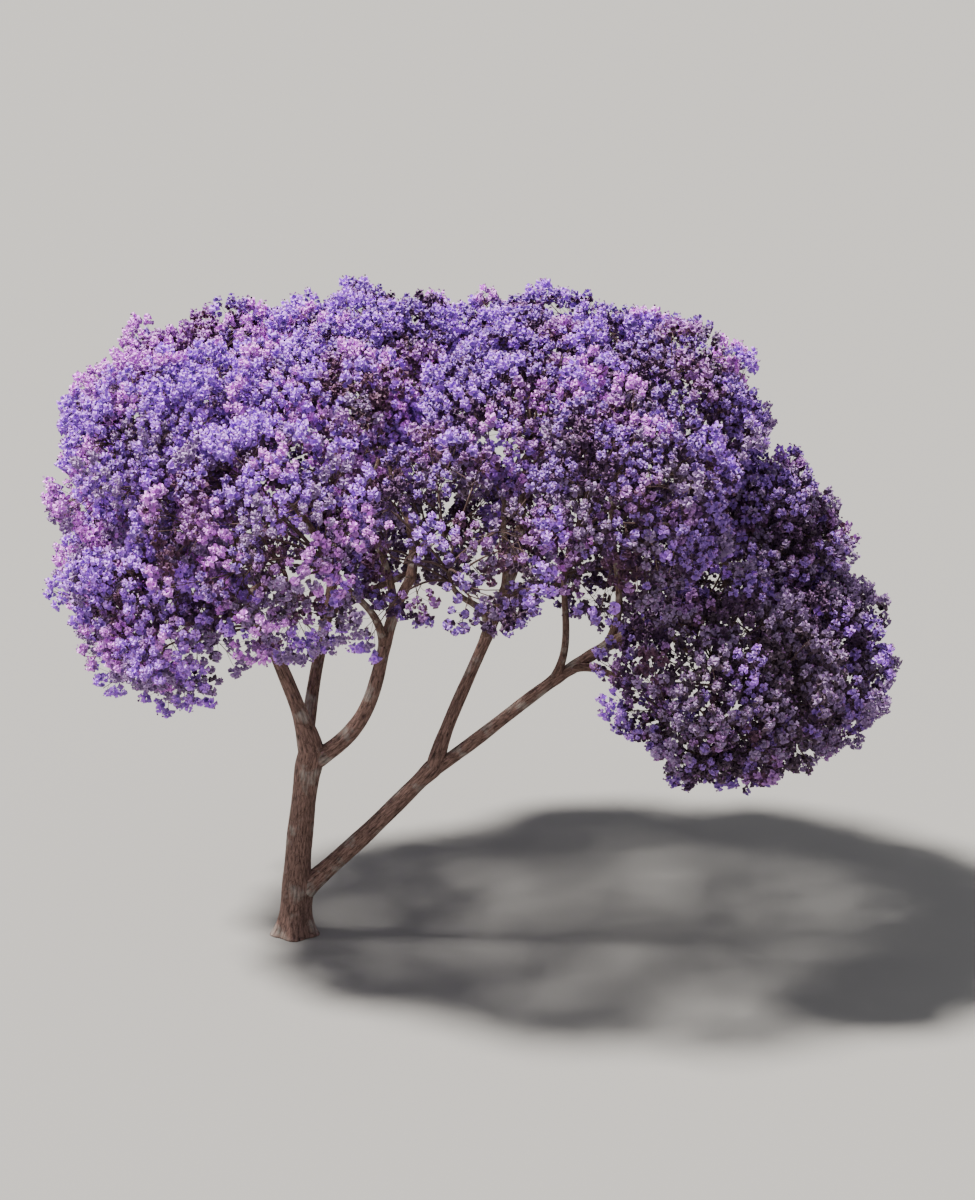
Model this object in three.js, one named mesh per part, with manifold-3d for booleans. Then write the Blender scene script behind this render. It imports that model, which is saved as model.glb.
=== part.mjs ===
// A jacaranda in full bloom: a wide, nearly leafless tree that forks low. A slightly leaning trunk
// carries three limbs, and a long stem that leaves it near the ground leans out to the right and forks
// again. Twenty-one boughs spread from these to as many masses of blossom, which together make a broad
// umbrella crown with a window under its front.
// Millimetres, +Z up, +X to the viewer's right, the viewer on the -Y side, the origin at the middle of the
// trunk's foot.
import * as THREE from "three";
import { mergeVertices } from "three/addons/utils/BufferGeometryUtils.js";
import Module from "manifold-3d";

const wasm = await Module();
wasm.setup();

// Clearance between solids that touch, and between what only passes.
const seatGap = 0.3;
const passingGap = 8;
// How far a vertex may lie off a straight edge and still count as on it.
const straightness = 0.1;

// The trunk's root flare: how much wider the foot is, how fast that dies away with height, and its
// buttress ribs.
const flare = { extra: 190, fadeHeight: 330, ribs: 5, ribShare: 0.22 };

// The limbs that carry the crown. A limb leaves from `from`, a point, or from the centre line of another
// limb at a share of its length. `leave` and `arrive` are how far it runs along its first and last
// directions before it bends. `carries` are the masses whose boughs leave it, from the lowest to the one
// at its tip.
const limbPlan = {
  trunk: {
    from: [0, 0, 0], to: [370, 0, 3760], leave: [60, 0, 1300], arrive: [230, 0, 1150],
    radii: [272, 225], sides: 12, steps: 9, flared: true,
  },
  leaning_stem: {
    from: { limb: "trunk", share: 0.2 }, to: [2740, -200, 3520],
    leave: [820, -60, 720], arrive: [760, -60, 830],
    radii: [185, 150], sides: 9, steps: 7,
  },
  left_limb: {
    from: { limb: "trunk", share: 1 }, to: [-900, 150, 7050],
    leave: [-160, 0, 900], arrive: [-560, 150, 1150],
    radii: [165, 95], sides: 8, steps: 6,
    carries: ["skirt_front_left", "skirt_left", "skirt_back_left", "shoulder_left"],
  },
  centre_limb: {
    from: { limb: "trunk", share: 0.93 }, to: [2300, 50, 7200],
    leave: [1750, -100, 1000], arrive: [900, 150, 1500],
    radii: [170, 95], sides: 8, steps: 8,
    carries: ["shoulder_front_left", "top_front_left", "top_back_left"],
  },
  back_limb: {
    from: { limb: "trunk", share: 0.86 }, to: [850, 2900, 7000],
    leave: [-120, 900, 700], arrive: [250, 700, 1300],
    radii: [150, 90], sides: 8, steps: 6,
    carries: ["skirt_back", "shoulder_back_left", "shoulder_back"],
  },
  upright_fork: {
    from: { limb: "leaning_stem", share: 1 }, to: [4300, 500, 7500],
    leave: [330, 60, 1300], arrive: [350, 250, 1300],
    radii: [132, 92], sides: 8, steps: 6,
    carries: [
      "shoulder_front", "skirt_back_right", "top_front_right", "top_back_right", "shoulder_back_right",
    ],
  },
  leaning_fork: {
    from: { limb: "leaning_stem", share: 0.93 }, to: [6700, -250, 6350], leave: [1300, -50, 900],
    arrive: [1500, 0, 700],
    radii: [135, 95], sides: 8, steps: 7,
    carries: [
      "shoulder_front_right", "skirt_front_right", "skirt_right_rear", "shoulder_right", "flank_right",
      "skirt_right",
    ],
  },
};

// Boughs: thickness where they leave a limb, at most limbShare of the limb's own, and at the tip. The
// boughs of a limb leave it past lowestShare of its length. `bend` is how far they run, as a share of
// their reach, before they bend, `lift` how much they turn up at the end, and `depth` how far short of
// the mass's middle they end, in radii.
const bough = {
  rootRadius: 82, limbShare: 0.86, tipRadius: 44, sides: 6, steps: 4, lowestShare: 0.52, bend: 0.36,
  lift: 0.5, depth: 0.55,
};

// The crown is a flat dome made of rings of masses. A ring is an ellipse in plan, and its height falls by
// rightDroop times the way out to the right and by frontDroop times the way out to the front. Each mass
// is a spheroid named by its bearing round the crown, in degrees from +X towards +Y, and faces away from
// the crown's focus. A thin mass keeps only this share of its sprays, so that the limbs behind it show.
// Twigs and blossom are kept to a mass's outward side: `widest` is the cosine of the widest angle from
// its axis, and `widestRound` that of the masses that hang further round.
const crown = {
  middleY: 800, focus: [3300, 800, 5200], thinShare: 0.5, thin: ["shoulder_front"],
  widest: -0.3, widestRound: -0.65, round: ["shoulder_front", "shoulder_front_left", "skirt_front_right"],
};
const rings = {
  top: {
    middleX: 2700, halfWidth: 2650, halfDepth: 1850, height: 10150, rightDroop: 0, frontDroop: 0.08,
    radius: 2450, rise: 1900,
    bearings: { back_right: 34, back_left: 120, front_left: 220, front_right: 308 },
  },
  shoulder: {
    middleX: 2400, halfWidth: 4750, halfDepth: 3950, height: 9800, rightDroop: 0, frontDroop: 0.25,
    radius: 2550, rise: 2350,
    bearings: {
      right: 8, back_right: 58, back: 105, back_left: 148, left: 194, front_left: 240, front: 277,
      front_right: 318,
    },
  },
  flank: {
    middleX: 3600, halfWidth: 5300, halfDepth: 4300, height: 7650, rightDroop: 0, frontDroop: 0,
    radius: 1850, rise: 1750,
    bearings: { right: 2 },
  },
  skirt: {
    middleX: 3600, halfWidth: 6000, halfDepth: 4650, height: 6950, rightDroop: 0.235, frontDroop: 0.03,
    radius: 2400, rise: 2300,
    bearings: {
      right: 350, right_rear: 28, back_right: 66, back: 104, back_left: 146, left: 174, front_left: 204,
      front_right: 315,
    },
  },
};

// Where masses meet, the crown's surface runs over the dip between them: it lies where the nearnesses to
// all masses add up to 1, each exp(sharpness * (1 - d * d)) at d half sizes from the mass's middle.
const blend = { sharpness: 1.6, furthest: 1.24, step: 0.04 };

// A mass of blossom: a short stem ends in a knot, branches fan out from its faces, and each ends in a
// smaller knot that twigs leave. A twig flares into a spray of blossom whose top lies on the mass's
// spheroid. `places` is how many are spread evenly over the whole spheroid, and `sunk` how deep a root
// goes into its knot.
const stem = { length: 260, radius: 34, knot: 96 };
const branch = { places: 10, share: 0.5, rootRadius: 22, tipRadius: 18, knot: 66, sunk: 26 };
const twig = { places: 84, rootRadius: 12, tipRadius: 10, sunk: 16 };
const spray = {
  radius: 720, thickness: 440, rimShare: 0.4, sizes: [1, 0.85, 0.7, 0.55], pulls: [1, 0.92, 0.84, 0.76],
};
const jitter = { direction: 0.08, reach: 0.1 };
// The widest angle, as a cosine, at which a twig leaves a face of a knot.
const leastLeaving = 0.45;
// Limbs are tested as rows of balls, and a mass may touch the last few of its own bough. A spray counts
// there as a ball of this share of its radius, and a branch as balls at these shares of its length.
const limbTest = { balls: 20, free: 2, sprayShare: 0.8, branchShares: [0.3, 0.5, 0.75, 1] };

// A number from 0 to 1 that is the same each run, for a place and a purpose.
const chance = (place, purpose) => {
  const wave = Math.sin(place * 12.9898 + purpose * 78.233) * 43758.5453;
  return wave - Math.floor(wave);
};

const vector = (v) => new THREE.Vector3(...v);
const between = (a, b, share) => a.clone().lerp(b, share);

// One tapering limb as a curve with a radius at each share of it.
function makeLimb(from, leave, arrive, to, radii, form) {
  const curve = new THREE.CubicBezierCurve3(from, from.clone().add(leave), to.clone().sub(arrive), to);
  const radiusAt = (share) => THREE.MathUtils.lerp(radii[0], radii[1], share);
  return { curve, radiusAt, sides: form.sides, steps: form.steps, flared: form.flared };
}

// The radius of the trunk's foot, which swells towards the ground in buttress ribs.
function flaredRadius(radius, height, angle) {
  const swell = flare.extra * Math.exp(-height / flare.fadeHeight);
  return radius + swell * (1 + flare.ribShare * Math.cos(flare.ribs * angle));
}

// A closed cylinder bent along a limb's curve. `grown` makes it that much thicker and longer, as a cutter.
function limbGeometry(limb, grown = 0) {
  const { curve, radiusAt, sides, steps, flared } = limb;
  const geometry = new THREE.CylinderGeometry(1, 1, 1, sides, steps);
  const place = geometry.getAttribute("position");
  const chord = curve.v3.clone().sub(curve.v0);
  const side = new THREE.Vector3(chord.y, -chord.x, 0).normalize();
  const vertex = new THREE.Vector3();
  for (let i = 0; i < place.count; i += 1) {
    vertex.fromBufferAttribute(place, i);
    const share = vertex.y + 0.5;
    const centre = curve.getPoint(share);
    const along = curve.getTangent(share);
    const across = side.clone().addScaledVector(along, -side.dot(along)).normalize();
    const third = new THREE.Vector3().crossVectors(along, across);
    // On the ground the section is level, so that the foot is one flat cut.
    if (flared && share === 0) {
      across.set(across.x, across.y, 0).normalize();
      third.set(-across.y, across.x, 0);
    }
    let radius = radiusAt(share) + grown;
    if (flared) radius = flaredRadius(radius, centre.z, Math.atan2(vertex.z, vertex.x));
    centre.addScaledVector(across, vertex.x * radius).addScaledVector(third, -vertex.z * radius);
    if (share === 0) centre.addScaledVector(along, -grown);
    if (share === 1) centre.addScaledVector(along, grown);
    place.setXYZ(i, centre.x, centre.y, centre.z);
  }
  return geometry;
}

// A three.js geometry as a manifold-3d solid, and back.
function solidOf(geometry) {
  const bare = new THREE.BufferGeometry();
  bare.setAttribute("position", geometry.getAttribute("position").clone());
  bare.setIndex(geometry.index);
  const merged = mergeVertices(bare, 1e-3);
  const mesh = new wasm.Mesh({
    numProp: 3,
    vertProperties: merged.getAttribute("position").array,
    triVerts: new Uint32Array(merged.index.array),
  });
  return new wasm.Manifold(mesh);
}

function geometryOf(solid) {
  const mesh = solid.getMesh();
  const geometry = new THREE.BufferGeometry();
  geometry.setAttribute("position", new THREE.BufferAttribute(mesh.vertProperties, 3));
  geometry.setIndex(new THREE.BufferAttribute(mesh.triVerts, 1));
  return geometry;
}

// The largest body of a solid, without loose scraps, sealed hollows or vertices in the middle of straight
// edges.
function mainBody(solid) {
  const body = solid.decompose().reduce((a, b) => (b.volume() > a.volume() ? b : a));
  return body.asOriginal().simplify(straightness);
}

// All solids fused into one, in pairs, so that no join is against a large one for long.
function fused(solids) {
  let left = solids;
  while (left.length > 1) {
    const pairs = [];
    for (let i = 0; i < left.length; i += 2) {
      pairs.push(i + 1 < left.length ? left[i].add(left[i + 1]) : left[i]);
    }
    left = pairs;
  }
  return mainBody(left[0]);
}

// The masses, each with its centre, its half sizes, and its axis, which points out of the crown.
function planMasses() {
  const masses = {};
  for (const [ring, plan] of Object.entries(rings)) {
    for (const [side, bearing] of Object.entries(plan.bearings)) {
      const angle = THREE.MathUtils.degToRad(bearing);
      const outX = plan.halfWidth * Math.cos(angle);
      const outY = plan.halfDepth * Math.sin(angle);
      const height = plan.height - plan.rightDroop * Math.max(0, outX) - plan.frontDroop * Math.max(0, -outY);
      const centre = new THREE.Vector3(plan.middleX + outX, crown.middleY + outY, height);
      masses[`${ring}_${side}`] = {
        centre,
        half: new THREE.Vector3(plan.radius, plan.radius, plan.rise),
        axis: centre.clone().sub(vector(crown.focus)).normalize(),
        number: Object.keys(masses).length + 1,
        kept: crown.thin.includes(`${ring}_${side}`) ? crown.thinShare : 1,
        widest: crown.round.includes(`${ring}_${side}`) ? crown.widestRound : crown.widest,
      };
    }
  }
  return masses;
}

// Limbs first, then a bough to each mass from the limb that carries it.
function planLimbs(masses) {
  const limbs = {};
  for (const [name, plan] of Object.entries(limbPlan)) {
    const parent = limbs[plan.from.limb];
    const from = parent ? parent.curve.getPoint(plan.from.share) : vector(plan.from);
    limbs[name] = makeLimb(from, vector(plan.leave), vector(plan.arrive), vector(plan.to), plan.radii, plan);
  }
  for (const [name, plan] of Object.entries(limbPlan)) {
    const carried = plan.carries ?? [];
    carried.forEach((massName, i) => {
      const share = bough.lowestShare + ((1 - bough.lowestShare) * (i + 1)) / carried.length;
      limbs[`bough_${massName}`] = planBough(masses[massName], limbs[name], share);
    });
  }
  return limbs;
}

// A bough leaves its limb partly along it, and arrives in its mass along the mass's axis, bent upwards.
function planBough(mass, limb, share) {
  const from = limb.curve.getPoint(share);
  const to = mass.centre.clone().addScaledVector(mass.axis, -bough.depth * mass.half.x);
  const straight = to.clone().sub(from);
  const reach = straight.length() * bough.bend;
  straight.normalize();
  const leave = limb.curve.getTangent(share).add(straight).normalize().multiplyScalar(reach);
  const arrive = mass.axis.clone().add(straight);
  arrive.z += bough.lift;
  arrive.normalize().multiplyScalar(reach);
  const rootRadius = Math.min(bough.rootRadius, limb.radiusAt(share) * bough.limbShare);
  return makeLimb(from, leave, arrive, to, [rootRadius, bough.tipRadius], bough);
}

// Whether a ball round a point stays in the mass's own space, nearer its centre than any other mass's.
function keepsSpace(point, radius, mass, masses) {
  return Object.values(masses).every((other) => {
    if (other === mass) return true;
    const toOther = other.centre.clone().sub(mass.centre);
    const middle = between(mass.centre, other.centre, 0.5);
    return point.clone().sub(middle).dot(toOther) / toOther.length() < -(radius + passingGap);
  });
}

// Whether a ball round a point is clear of every limb but the last stretch of the mass's own bough.
function clearOfLimbs(point, radius, ownBough, limbs) {
  return Object.values(limbs).every((limb) => {
    const last = limb === ownBough ? limbTest.balls - limbTest.free : limbTest.balls;
    for (let i = 0; i <= last; i += 1) {
      const share = i / limbTest.balls;
      const room = radius + limb.radiusAt(share) + passingGap;
      if (point.distanceTo(limb.curve.getPoint(share)) < room) return false;
    }
    return true;
  });
}

// Directions spread evenly over a ball by the golden angle, each turned a little by chance.
function evenDirections(count, number) {
  const goldenAngle = Math.PI * (3 - Math.sqrt(5));
  const directions = [];
  for (let i = 0; i < count; i += 1) {
    const z = 1 - (2 * i + 1) / count;
    const turn = i * goldenAngle + number;
    const level = Math.sqrt(1 - z * z);
    const nudge = [0, 1, 2].map((k) => (chance(i + 1, number + 10 * k) - 0.5) * 2 * jitter.direction);
    const even = new THREE.Vector3(level * Math.cos(turn), level * Math.sin(turn), z);
    directions.push(even.add(vector(nudge)).normalize());
  }
  return directions;
}

// A shape that stands on the origin along +Y, moved to stand on one place and point to another.
function laidAlong(geometry, from, to) {
  const direction = to.clone().sub(from).normalize();
  geometry.applyQuaternion(new THREE.Quaternion().setFromUnitVectors(new THREE.Vector3(0, 1, 0), direction));
  return geometry.translate(from.x, from.y, from.z);
}

// A straight three-sided branch from one place to another.
function branchGeometry(from, to, rootRadius, tipRadius) {
  const length = from.distanceTo(to);
  const geometry = new THREE.CylinderGeometry(tipRadius, rootRadius, length, 3).translate(0, length / 2, 0);
  return laidAlong(geometry, from, to);
}

// A twig that flares at its end into a spray of blossom: a shallow cone below the rim and another above it.
function sprayGeometry(from, neck, size) {
  const length = from.distanceTo(neck);
  const profile = [
    [0, 0],
    [twig.rootRadius, 0],
    [twig.tipRadius, length],
    [spray.radius * size, length + spray.thickness * size * spray.rimShare],
    [0, length + spray.thickness * size],
  ];
  return laidAlong(new THREE.LatheGeometry(profile.map(([x, y]) => new THREE.Vector2(x, y)), 3), from, neck);
}

// The swelling where limbs part: an octahedron with one face square to what carries it and seven free ones.
function makeKnot(centre, radius, heading) {
  const backFace = new THREE.Vector3(-1, -1, -1).normalize();
  const turn = new THREE.Quaternion().setFromUnitVectors(backFace, heading.clone().negate());
  const signs = [[1, 1, 1], [1, 1, -1], [1, -1, 1], [-1, 1, 1], [1, -1, -1], [-1, 1, -1], [-1, -1, 1]];
  const free = signs.map((face) => vector(face).normalize().applyQuaternion(turn));
  const geometry = new THREE.OctahedronGeometry(radius).applyQuaternion(turn);
  geometry.translate(centre.x, centre.y, centre.z);
  return { centre, radius, geometry, free };
}

// The free face of a knot that looks best towards a goal.
function bestFace(knot, goal) {
  const towards = goal.clone().sub(knot.centre).normalize();
  const face = knot.free.reduce((a, b) => (b.dot(towards) > a.dot(towards) ? b : a), knot.free[0]);
  return face && face.dot(towards) > leastLeaving ? face : null;
}

// The root of a twig that leaves a knot's face for a goal, sunk through the middle of the face.
function rootOn(knot, face, goal, sunk) {
  const middle = knot.centre.clone().addScaledVector(face, knot.radius / Math.sqrt(3));
  return middle.addScaledVector(goal.clone().sub(middle).normalize(), -sunk);
}

function corners(geometry) {
  const place = geometry.getAttribute("position");
  return Array.from({ length: place.count }, (_, i) => new THREE.Vector3().fromBufferAttribute(place, i));
}

// The branches: straight from the hub to places halfway out, as far as they keep to the mass's space.
function growBranches(mass, hub, fits) {
  const branches = [];
  for (const direction of evenDirections(branch.places, mass.number)) {
    if (direction.dot(mass.axis) < mass.widest) continue;
    const tip = mass.centre.clone().addScaledVector(direction.multiply(mass.half), branch.share);
    const face = bestFace(hub, tip);
    if (!face) continue;
    const root = rootOn(hub, face, tip, branch.sunk);
    if (!limbTest.branchShares.every((share) => fits(between(root, tip, share), branch.rootRadius))) continue;
    hub.free.splice(hub.free.indexOf(face), 1);
    branches.push({ root, tip, knot: makeKnot(tip, branch.knot, tip.clone().sub(root).normalize()) });
  }
  return branches;
}

// How far the crown's surface lies from a mass's middle in a direction, in the mass's half sizes.
function surfaceReach(direction, mass, masses) {
  const nearness = (point, other) => {
    const away = point.clone().sub(other.centre).divide(other.half);
    return Math.exp(blend.sharpness * (1 - away.lengthSq()));
  };
  for (let reach = blend.furthest; reach > 1; reach -= blend.step) {
    const point = mass.centre.clone().add(direction.clone().multiply(mass.half).multiplyScalar(reach));
    const total = Object.values(masses).reduce((sum, other) => sum + nearness(point, other), 0);
    if (total >= 1) return reach;
  }
  return 1;
}

// The spray for a direction, at the largest size and furthest out that keep to the mass's space and clear
// of the sprays already placed, or none.
function growSpray(mass, direction, reach, knots, placed, fits) {
  for (const pull of spray.pulls) {
    for (const size of spray.sizes) {
      const neck = direction.clone().multiply(mass.half).multiplyScalar(reach * pull).add(mass.centre);
      neck.addScaledVector(direction, -spray.thickness * size);
      const near = knots.filter((one) => bestFace(one, neck));
      if (!near.length) return null;
      const knot = near.reduce((a, b) => (b.centre.distanceTo(neck) < a.centre.distanceTo(neck) ? b : a));
      const face = bestFace(knot, neck);
      const root = rootOn(knot, face, neck, twig.sunk);
      const geometry = sprayGeometry(root, neck, size);
      const heart = neck.clone().addScaledVector(direction, spray.rimShare * spray.thickness * size);
      const clear = fits(heart, 0, spray.radius * size * limbTest.sprayShare)
        && fits(between(root, neck, 0.5), twig.rootRadius)
        && corners(geometry).every((corner) => fits(corner, 0));
      if (!clear) continue;
      const solid = solidOf(geometry);
      if (placed.some((other) => !solid.intersect(other).isEmpty())) continue;
      knot.free.splice(knot.free.indexOf(face), 1);
      return solid;
    }
  }
  return null;
}

// One mass: its stem and hub, the branches, and the twigs with their sprays, fused into one solid.
function growMass(mass, masses, ownBough, limbs) {
  const fits = (point, radius, limbRoom = radius) =>
    keepsSpace(point, radius, mass, masses) && clearOfLimbs(point, limbRoom, ownBough, limbs);
  const heading = ownBough.curve.getTangent(1);
  const foot = ownBough.curve.getPoint(1).addScaledVector(heading, seatGap);
  const hub = makeKnot(foot.clone().addScaledVector(heading, stem.length), stem.knot, heading);
  const branches = growBranches(mass, hub, fits);
  const wood = [branchGeometry(foot, hub.centre, stem.radius, stem.radius), hub.geometry];
  for (const { root, tip, knot } of branches) {
    wood.push(branchGeometry(root, tip, branch.rootRadius, branch.tipRadius), knot.geometry);
  }
  const knots = [...branches.map(({ knot }) => knot), hub];
  const sprays = [];
  evenDirections(twig.places, mass.number + 100).forEach((direction, i) => {
    if (direction.dot(mass.axis) < mass.widest || chance(i + 1, mass.number + 70) > mass.kept) return;
    const depth = 1 - jitter.reach * chance(i + 1, mass.number + 50);
    const reach = surfaceReach(direction, mass, masses) * depth;
    const grown = growSpray(mass, direction, reach, knots, sprays, fits);
    if (grown) sprays.push(grown);
  });
  return fused([...wood.map(solidOf), ...sprays]);
}

// Each limb is cut clear of the ones made before it, so that it sits on its parent with a saddle-shaped
// root.
function carveLimbs(limbs) {
  const solids = {};
  const cutters = [];
  for (const [name, limb] of Object.entries(limbs)) {
    let solid = solidOf(limbGeometry(limb));
    for (const cutter of cutters) solid = solid.subtract(cutter);
    solids[name] = mainBody(solid);
    cutters.push(solidOf(limbGeometry(limb, seatGap)));
  }
  return solids;
}

const barkFinish = { color: 0x5d4f4a, roughness: 0.92, metalness: 0 };
const blossomFinish = { color: 0x9a82dc, roughness: 0.75, metalness: 0 };

function namedMesh(name, solid, finish) {
  const mesh = new THREE.Mesh(geometryOf(solid), new THREE.MeshStandardMaterial(finish));
  mesh.name = name;
  return mesh;
}

const masses = planMasses();
const limbs = planLimbs(masses);
const tree = new THREE.Group();
tree.name = "jacaranda_tree";
for (const [name, solid] of Object.entries(carveLimbs(limbs))) {
  tree.add(namedMesh(name, solid, barkFinish));
}
for (const [name, mass] of Object.entries(masses)) {
  const solid = growMass(mass, masses, limbs[`bough_${name}`], limbs);
  tree.add(namedMesh(`blossom_${name}`, solid, blossomFinish));
}

export default tree;
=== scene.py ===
import bpy
import numpy as np
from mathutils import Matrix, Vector


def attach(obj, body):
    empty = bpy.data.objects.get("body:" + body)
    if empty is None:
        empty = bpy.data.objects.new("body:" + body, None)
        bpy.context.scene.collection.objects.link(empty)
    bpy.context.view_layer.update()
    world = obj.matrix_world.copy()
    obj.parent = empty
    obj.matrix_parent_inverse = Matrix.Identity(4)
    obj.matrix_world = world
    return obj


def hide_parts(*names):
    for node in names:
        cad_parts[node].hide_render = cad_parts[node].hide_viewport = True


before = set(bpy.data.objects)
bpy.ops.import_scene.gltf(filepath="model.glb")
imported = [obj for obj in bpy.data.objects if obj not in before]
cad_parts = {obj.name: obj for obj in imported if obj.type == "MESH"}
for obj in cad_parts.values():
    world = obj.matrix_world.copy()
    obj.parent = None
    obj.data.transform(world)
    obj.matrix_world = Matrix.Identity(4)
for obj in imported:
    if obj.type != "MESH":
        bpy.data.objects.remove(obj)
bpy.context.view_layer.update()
print("frame loaded:", len(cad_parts), "nodes")

up = np.array([0.0, 0.0, 1.0])
goldenAngle = np.pi * (3 - np.sqrt(5))
shortest = 1e-9    # no vector is divided by a length below this
uprightStep = 1e-5    # gives a side to a chord that stands straight up
chanceRule = {"place": 12.9898, "purpose": 78.233, "size": 43758.5453}


# Helpers: vectors, chance, curves, tubes and meshes, all on whole arrays.

def unit(v):
    # each vector divided by its length
    return v / np.maximum(np.linalg.norm(v, axis=-1, keepdims=True), shortest)


def dot(a, b):
    # the sum of the products of the coordinates
    return (a * b).sum(axis=-1)


def between(pair, share):
    # the first of the pair at share 0, the second at 1, and evenly from one to the other
    return pair[0] * (1 - share) + pair[1] * share


def chance(place, purpose):
    # the fraction of a large sine of the place and the purpose: from 0 to 1, and the same each run
    wave = np.sin(np.asarray(place, float) * chanceRule["place"] + purpose * chanceRule["purpose"])
    wave = wave * chanceRule["size"]
    return wave - np.floor(wave)


def curvePoints(control, share):
    # cubic Bezier: the four points weighted by (1-s)^3, 3(1-s)^2 s, 3(1-s) s^2 and s^3
    rest = 1 - share
    weights = np.stack([rest**3, 3 * rest**2 * share, 3 * rest * share**2, share**3], axis=-1)
    return weights @ control


def curveTangents(control, share):
    # the derivative of the same curve, at unit length
    rest = 1 - share
    weights = np.stack([
        -3 * rest**2,
        3 * rest**2 - 6 * rest * share,
        6 * rest * share - 3 * share**2,
        3 * share**2,
    ], axis=-1)
    return unit(weights @ control)


def pointAt(control, share):
    # one point on one curve
    return curvePoints(control, np.array([share]))[0]


def tangentAt(control, share):
    # the direction of one curve at one point
    return curveTangents(control, np.array([share]))[0]


def pointsAt(control, share):
    # one point on each of n curves, each at its own share
    return curvePoints(control, share[:, None])[:, 0]


def tangentsAt(control, share):
    # the direction of each of n curves, each at its own share
    return curveTangents(control, share[:, None])[:, 0]


def curveThrough(start, end, leaving, arriving, bend):
    # control points: the ends, and a point from each at bend times the distance along its direction
    reach = np.linalg.norm(end - start, axis=-1, keepdims=True) * bend
    return np.stack([start, start + unit(leaving) * reach, end - unit(arriving) * reach, end], axis=-2)


def squareTo(direction, tilt):
    # a direction square to each one: its cross product with up, tilted a little so that the two differ
    return unit(np.cross(direction, up + tilt * direction[:, ::-1]))


def sections(control, share):
    # each section's centre, the direction along, and two square to it, of which the chord keeps one level
    centre = curvePoints(control, share)
    along = curveTangents(control, share)
    chord = control[..., 3, :] - control[..., 0, :]
    side = np.stack([chord[..., 1] + uprightStep, -chord[..., 0], 0 * chord[..., 0]], axis=-1)
    side = unit(side)[..., None, :]
    across = unit(side - dot(side, along)[..., None] * along)
    return centre, along, across, np.cross(along, across)


def roundSection(sides):
    # angles spread evenly round a circle
    return np.arange(sides) * 2 * np.pi / sides


def tubeFaces(count, ringCount, sides):
    # quads between each ring and the next on count tubes, and one face over each end
    first = np.arange(count)[:, None, None] * ringCount * sides
    ring = np.arange(ringCount - 1)[None, :, None] * sides
    here = np.arange(sides)
    after = (here + 1) % sides
    low = first + ring
    walls = np.stack([low + here, low + after, low + sides + after, low + sides + here], axis=-1)
    roots = first[:, 0] + here[::-1]
    tips = first[:, 0] + (ringCount - 1) * sides + here
    return [walls.reshape(-1, 4), roots, tips]


def growTubes(control, form):
    # centre(s) + (across cos a + third sin a) radius(s), the radius running evenly from root to tip
    ringCount, sides = form["mesh"]
    share = np.linspace(0, 1, ringCount)
    centre, _, across, third = sections(control, share)
    angle = roundSection(sides)
    ring = across[:, :, None] * np.cos(angle)[:, None] + third[:, :, None] * np.sin(angle)[:, None]
    place = centre[:, :, None] + ring * between(form["radii"], share)[:, None, None]
    return place.reshape(-1, 3), tubeFaces(len(control), ringCount, sides)


def joined(parts):
    # several (points, faces) parts as one list of each, the faces' numbers moved on past earlier points
    points, faces, used = [], [], 0
    for place, groups in parts:
        points.append(place)
        faces.extend(group + used for group in groups)
        used += len(place)
    return np.concatenate(points), faces


def makeMesh(name, points, faces, materials, materialOf=None, smooth=True):
    # points and faces put in as whole arrays; all faces in one array of faces have as many corners
    mesh = bpy.data.meshes.new(name)
    corners = np.concatenate([group.ravel() for group in faces])
    sizes = np.concatenate([np.full(len(group), group.shape[1]) for group in faces])
    mesh.vertices.add(len(points))
    mesh.vertices.foreach_set("co", np.ascontiguousarray(points, np.float32).ravel())
    mesh.loops.add(len(corners))
    mesh.loops.foreach_set("vertex_index", corners.astype(np.int32))
    mesh.polygons.add(len(sizes))
    mesh.polygons.foreach_set("loop_start", np.concatenate([[0], np.cumsum(sizes)[:-1]]).astype(np.int32))
    mesh.polygons.foreach_set("use_smooth", np.full(len(sizes), smooth))
    for material in materials:
        mesh.materials.append(material)
    if materialOf is not None:
        mesh.polygons.foreach_set("material_index", materialOf.astype(np.int32))
    mesh.update(calc_edges=True)
    piece = bpy.data.objects.new(name, mesh)
    bpy.context.scene.collection.objects.link(piece)
    return piece


def addAttribute(piece, name, values):
    # a value or a vector for each point, for the piece's own material
    kind, field = ("FLOAT", "value") if values.ndim == 1 else ("FLOAT_VECTOR", "vector")
    attribute = piece.data.attributes.new(name, kind, "POINT")
    attribute.data.foreach_set(field, np.ascontiguousarray(values, np.float32).ravel())


def standFor(piece, node):
    # the piece rides on the tree's one body and takes the place of its node
    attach(piece, "root")
    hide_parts(node)


# Materials. mixSockets are the numbers of a Mix node's sockets for colours.
mixSockets = {"factor": 0, "first": 6, "second": 7, "result": 2}


def addSocket(group, name, kind, default=None, output=False):
    # a named input or output of a node group
    side = "OUTPUT" if output else "INPUT"
    made = group.interface.new_socket(name=name, in_out=side, socket_type=kind)
    if default is not None:
        made.default_value = default


def addNode(tree, kind, inputs=None, **settings):
    # a node with its settings, and each input either set to a value or linked from a socket
    node = tree.nodes.new(kind)
    for key, value in settings.items():
        setattr(node, key, value)
    for key, value in (inputs or {}).items():
        if isinstance(value, bpy.types.NodeSocket):
            tree.links.new(value, node.inputs[key])
        else:
            node.inputs[key].default_value = value
    return node


def calculate(tree, operation, *values):
    # the result of a Math node
    return addNode(tree, "ShaderNodeMath", dict(enumerate(values)), operation=operation).outputs[0]


def rampBetween(tree, factor, low, high, lowAt, highAt):
    # a value that runs from low to high as the factor goes from lowAt to highAt
    node = addNode(tree, "ShaderNodeMapRange", {
        "Value": factor, "From Min": lowAt, "From Max": highAt, "To Min": low, "To Max": high,
    }, clamp=True)
    return node.outputs["Result"]


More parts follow.
